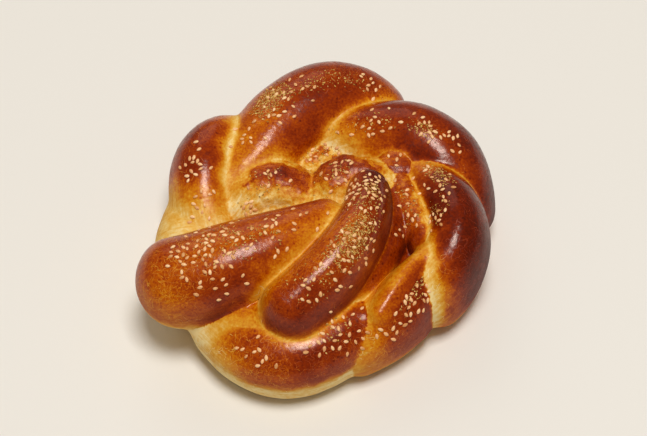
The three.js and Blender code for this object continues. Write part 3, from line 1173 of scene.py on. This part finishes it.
@dataclass
class Topping:
    """Small dry pieces scattered on the crust, joined as one mesh.

    A spot further than stray_mm from the skin, or nearer than spacing_mm to another piece, is given up, and
    a patch has so many tries for each of its pieces. shade_spread shapes the beta distribution of their
    shades.
    """

    name: str
    finish: ToppingFinish
    patches: tuple[Patch, ...]
    spacing_mm: float
    random_start: int
    stray_mm: float = 1.5
    tries: int = 20
    shade_spread: Span = (1.6, 2.0)

    def shape(self, random: Random) -> Piece:
        """One piece's points in millimetres, lying on the XY plane, and its triangles."""
        raise NotImplementedError

    def piece(self, place: Vector, outward: Vector, skin: BVHTree, random: Random) -> Piece:
        """One piece on the skin.

        Args:
            place: where it lies, in metres.
            outward: the direction away from the loaf there.
            skin: the loaf's mesh.
            random: the seeded random numbers.

        Returns:
            Its points in metres and its triangles.
        """
        shape, triangles = self.shape(random)
        facing = Vector((0, 0, 1)).rotation_difference(outward).to_matrix()
        turn = Matrix.Rotation(random.uniform(0.0, 2.0 * math.pi), 3, "Z")
        return shape @ np.array(facing @ turn).T * MM + np.array(place), triangles

    def claim(self, place: Vector, taken: dict[tuple[int, ...], list[Vector]]) -> bool:
        """Take a place, unless another piece lies too close.

        Args:
            place: the place in metres.
            taken: places taken before, by the cell of a grid that they lie in.

        Returns:
            Whether the place was free.
        """
        cell = self.spacing_mm * MM
        home = tuple(int(value // cell) for value in place)
        for step in np.ndindex(3, 3, 3):
            beside = tuple(h + s - 1 for h, s in zip(home, step))
            if any((place - other).length < cell for other in taken.get(beside, [])):
                return False
        taken.setdefault(home, []).append(place)
        return True

    def spots(self, loaf: Loaf, skin: BVHTree, shift_mm: np.ndarray,
              random: Random) -> list[tuple[Vector, Vector]]:
        """Places for the pieces on the loaf's skin.

        Args:
            loaf: the loaf that they lie on.
            skin: its mesh, for finding the true surface.
            shift_mm: from the braid's frame to the row frame.
            random: the seeded random numbers.

        Returns:
            A place in metres and an outward direction for each piece.
        """
        spots: list[tuple[Vector, Vector]] = []
        taken: dict[tuple[int, ...], list[Vector]] = {}
        for patch in self.patches:
            strand = loaf.strands[patch.strand]
            left = patch.count
            for _ in range(self.tries * patch.count):
                if left == 0:
                    break
                aim = strand.crust_at(*patch.draw(random)) + shift_mm
                place, outward, _, gap = skin.find_nearest(Vector(aim * MM))
                if gap <= self.stray_mm * MM and self.claim(place, taken):
                    spots.append((place, outward))
                    left -= 1
        return spots

    def shades(self, points: np.ndarray, owners: np.ndarray, loaf: Loaf,
               random: Random) -> np.ndarray:
        """Where each point falls in the finish's shades.

        Args:
            points: places in millimetres, in the braid's frame.
            owners: the number of the piece that each belongs to.
            loaf: the loaf that they lie on.
            random: the seeded random numbers.

        Returns:
            A number from 0 to 1 for each point, the same all over a piece.
        """
        return random.beta(*self.shade_spread, owners[-1] + 1)[owners]

    def build(self, loaf: Loaf, skin: BVHTree, shift_mm: np.ndarray) -> bpy.types.Object:
        """All pieces as one mesh in the row frame.

        Args:
            loaf: the loaf that they lie on.
            skin: its mesh, for finding the true surface.
            shift_mm: from the braid's frame to the row frame.

        Returns:
            The topping.
        """
        random = np.random.default_rng(self.random_start)
        points, faces, owners, count = [], [], [], 0
        for i, (place, outward) in enumerate(self.spots(loaf, skin, shift_mm, random)):
            corners, triangles = self.piece(place, outward, skin, random)
            faces.append(triangles + count)
            points.append(corners)
            owners.append(np.full(len(corners), i))
            count += len(corners)
        joined = np.concatenate(points)
        mesh = mesh_from(self.name, joined, np.concatenate(faces).tolist())
        set_values(mesh, "shade", self.shades(joined / MM - shift_mm, np.concatenate(owners), loaf, random))
        mesh.materials.append(self.finish.material())
        return new_object(self.name, mesh)


@dataclass
class SesameSeeds(Topping):
    """Sesame seeds pressed lightly into the crust.

    taper is how much narrower a seed gets towards its point, and tilt how far it usually leans, in radians.
    """

    length_mm: float = 2.55
    width_mm: float = 1.6
    thickness_mm: float = 1.0
    taper: float = 0.32
    sizes: Span = (0.86, 1.12)
    tilt: float = 0.12
    seat_mm: Span = (0.1, 0.3)
    sides: int = 10
    rings: int = 7

    def shape(self, random: Random) -> Piece:
        """One seed: a flat drop, round at one end and pointed at the other.

        Args:
            random: the seeded random numbers, for its tilt, size and seat.

        Returns:
            Its points in millimetres and its triangles.
        """
        polar = np.linspace(0.0, math.pi, self.rings + 2)[1:-1]
        angle = np.linspace(0.0, 2.0 * math.pi, self.sides, endpoint=False)
        long = np.cos(polar)
        girth = np.sin(polar) * (1.0 - self.taper * np.maximum(long, 0.0))
        rings = np.stack([
            girth[:, None] * np.cos(angle) * self.width_mm / 2,
            np.repeat(long[:, None] * self.length_mm / 2, self.sides, axis=1),
            girth[:, None] * np.sin(angle) * self.thickness_mm / 2], axis=2)
        tips = np.array([[0.0, self.length_mm / 2, 0.0], [0.0, -self.length_mm / 2, 0.0]])
        points = np.concatenate([rings.reshape(-1, 3), tips])
        triangles = [
            (face[0], *edge)
            for face in ring_faces(self.rings, self.sides) for edge in zip(face[1:], face[2:])]
        tilt = np.array(Matrix.Rotation(random.normal(0.0, self.tilt), 3, "X"))
        points = points @ tilt.T * random.uniform(*self.sizes)
        return points + [0.0, 0.0, random.uniform(*self.seat_mm)], np.array(triangles)


@dataclass
class HerbCrumbs(Topping):
    """Crumbs of dried herb and spice, in drifts.

    narrow and flat are a crumb's width and height as shares of its length, and uneven is how far its corners
    stray, as a share of half its length.
    """

    size_mm: Span = (0.6, 1.6)
    narrow: Span = (0.25, 0.7)
    flat: Span = (0.25, 0.5)
    uneven: float = 0.18
    seat_mm: Span = (0.0, 0.25)

    def shape(self, random: Random) -> Piece:
        """One crumb: a small chip with six uneven corners.

        Args:
            random: the seeded random numbers, for its form and seat.

        Returns:
            Its points in millimetres and its triangles.
        """
        corners = np.array([
            [1.0, 0.0, 0.0], [0.0, 1.0, 0.0], [-1.0, 0.0, 0.0], [0.0, -1.0, 0.0],
            [0.0, 0.0, 1.0], [0.0, 0.0, -1.0]])
        size = random.uniform(*self.size_mm) / 2
        points = corners * size * np.array([1.0, random.uniform(*self.narrow), random.uniform(*self.flat)])
        points += random.normal(0.0, self.uneven, points.shape) * size
        points += [0.0, 0.0, random.uniform(*self.seat_mm)]
        triangles = [(4, i, (i + 1) % 4) for i in range(4)] + [(5, (i + 1) % 4, i) for i in range(4)]
        return points, np.array(triangles)


@dataclass
class GlazeCracks(Topping):
    """Hair cracks in the glaze, which curl over the crust and show paler dough.

    At each step a crack turns steadily by about bend and freely by about curl, in radians.
    """

    # Real ones are about half as wide, which would not show.
    width_mm: float = 0.26
    tip_width: float = 0.25
    paler: float = 0.15
    step_mm: float = 0.7
    lift_mm: float = 0.05
    steps: tuple[int, int] = (3, 9)
    bend: float = 0.15
    curl: float = 0.45

    def piece(self, place: Vector, outward: Vector, skin: BVHTree, random: Random) -> Piece:
        """One crack: a thin ribbon that wanders over the skin.

        Args:
            place: where it starts, in metres.
            outward: the direction away from the loaf there.
            skin: the loaf's mesh, which it follows.
            random: the seeded random numbers.

        Returns:
            Its points in metres and its triangles.
        """
        steps = int(random.integers(*self.steps))
        heading = Matrix.Rotation(random.uniform(0.0, 2.0 * math.pi), 3, outward) @ outward.orthogonal()
        bend = random.normal(0.0, self.bend)
        points = []
        for i in range(steps + 1):
            side = outward.cross(heading).normalized()
            belly = math.sin(math.pi * (i + 0.5) / (steps + 1))
            half = side * self.width_mm * MM / 2 * (self.tip_width + (1.0 - self.tip_width) * belly)
            middle = place + outward * self.lift_mm * MM
            points += [middle - half, middle + half]
            turn = Matrix.Rotation(bend + random.normal(0.0, self.curl), 3, outward)
            heading = turn @ side.cross(outward)
            place, outward, _, _ = skin.find_nearest(place + heading.normalized() * self.step_mm * MM)
        first = np.arange(steps)[:, None] * 2
        return np.array(points), np.concatenate([first + [0, 2, 3], first + [0, 3, 1]])

    def shades(self, points: np.ndarray, owners: np.ndarray, loaf: Loaf,
               random: Random) -> np.ndarray:
        """Browning of the crust at each point, less what a crack takes off."""
        upward = np.tile([0.0, 0.0, 1.0], (len(points), 1))
        return np.clip(loaf.bake_map(points, upward)["bake"] - self.paler, 0.0, 1.0)


@dataclass(frozen=True)
class Softbox:
    """A rectangular soft light aimed at the loaf, with its place and size in metres."""

    name: str
    place: Triple
    size: Span
    watts: float
    aim: Triple = (0.0, 0.0, 0.03)

    def build(self) -> None:
        """Hang the light in the scene."""
        data = bpy.data.lights.new(self.name, "AREA")
        data.shape = "RECTANGLE"
        data.size, data.size_y = self.size
        data.energy = self.watts
        light = bpy.data.objects.new(self.name, data)
        light.location = self.place
        heading = Vector(self.aim) - Vector(self.place)
        light.rotation_euler = heading.to_track_quat("-Z", "Y").to_euler()
        bpy.context.scene.collection.objects.link(light)


@dataclass(frozen=True)
class Studio:
    """The pale table, the soft light and the camera."""

    photo_size: tuple[int, int] = (647, 436)
    focal_px: float = 2000.0
    mm_per_px: float = 0.51
    elevation_deg: float = 53.0
    crown_middle_px: Span = (327.0, 260.0)
    sensor_mm: float = 36.0
    table_m: float = 6.0
    table: TableFinish = TableFinish()
    overhead: Softbox = Softbox("overhead", (0.18, -0.42, 2.85), (0.9, 0.9), 67.0)
    fill: Softbox = Softbox("fill", (-0.5, 1.9, 1.6), (1.6, 1.6), 7.0)
    room_colour: str = "#fff0de"
    room_strength: float = 0.23

    def camera(self, shift_mm: np.ndarray) -> None:
        """Set the camera where the loaf is seen as in the picture.

        Args:
            shift_mm: from the braid's frame, whose origin is seen at crown_middle_px, to the row frame.
        """
        wide, tall = self.photo_size
        right = self.crown_middle_px[0] - wide / 2
        above = tall / 2 - self.crown_middle_px[1]
        sine = math.sin(math.radians(self.elevation_deg))
        cosine = math.cos(math.radians(self.elevation_deg))
        distance = self.focal_px * self.mm_per_px
        back = above * distance / (self.focal_px * sine - above * cosine)
        aside = right * (distance + back * cosine) / self.focal_px
        aim = np.array([-aside, -back, 0.0]) + shift_mm
        eye = aim + distance * np.array([0.0, -cosine, sine])
        data = bpy.data.cameras.new("camera")
        data.sensor_width = self.sensor_mm
        data.lens = self.focal_px * self.sensor_mm / wide
        camera = bpy.data.objects.new("camera", data)
        camera.location = Vector(eye * MM)
        camera.rotation_euler = (math.radians(90.0 - self.elevation_deg), 0.0, 0.0)
        bpy.context.scene.collection.objects.link(camera)
        bpy.context.scene.camera = camera

    def build(self, shift_mm: np.ndarray) -> None:
        """Set up the table, the lights, the surrounding light and the camera.

        Args:
            shift_mm: from the braid's frame to the row frame.
        """
        half = self.table_m / 2
        corners = np.array([[-half, -half, 0], [half, -half, 0], [half, half, 0], [-half, half, 0]])
        table = new_object("table", mesh_from("table", corners, [(0, 1, 2, 3)]))
        table.data.materials.append(self.table.material())
        self.overhead.build()
        self.fill.build()
        world = bpy.data.worlds.new("room")
        world.use_nodes = True
        background = world.node_tree.nodes["Background"]
        background.inputs["Color"].default_value = linear(self.room_colour)
        background.inputs["Strength"].default_value = self.room_strength
        bpy.context.scene.world = world
        bpy.context.scene.view_settings.view_transform = "Standard"
        self.camera(shift_mm)


def main() -> None:
    """Load the frame, build the loaf and its toppings, and set up the studio."""
    logging.basicConfig(level=logging.INFO, format="%(message)s")
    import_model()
    loaf = Loaf(STRANDS, CrustFinish())
    low, high = (np.array(corner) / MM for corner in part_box(LOAF_NODE))
    own_low, own_high = loaf.own_box()
    shift_mm = ((low + high) - (own_low + own_high)) / 2
    shift_mm[2] = 0.0
    crust = loaf.build(shift_mm)
    LOG.info("loaf: %d faces", len(crust.data.polygons))
    skin = BVHTree.FromObject(crust, bpy.context.evaluated_depsgraph_get())
    toppings = (
        SesameSeeds("sesame_seeds", SESAME, SEED_PATCHES, spacing_mm=2.2, random_start=20261),
        HerbCrumbs("herb_crumbs", HERBS, HERB_PATCHES, spacing_mm=0.5, random_start=20262),
        GlazeCracks("glaze_cracks", CRACKED, CRACK_PATCHES, spacing_mm=0.8, random_start=20263),
    )
    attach(crust, BODY)
    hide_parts(LOAF_NODE)
    for topping in toppings:
        piece = topping.build(loaf, skin, shift_mm)
        LOG.info("%s: %d faces", topping.name, len(piece.data.polygons))
        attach(piece, BODY)
    Studio().build(shift_mm)


if __name__ == "__main__":
    main()
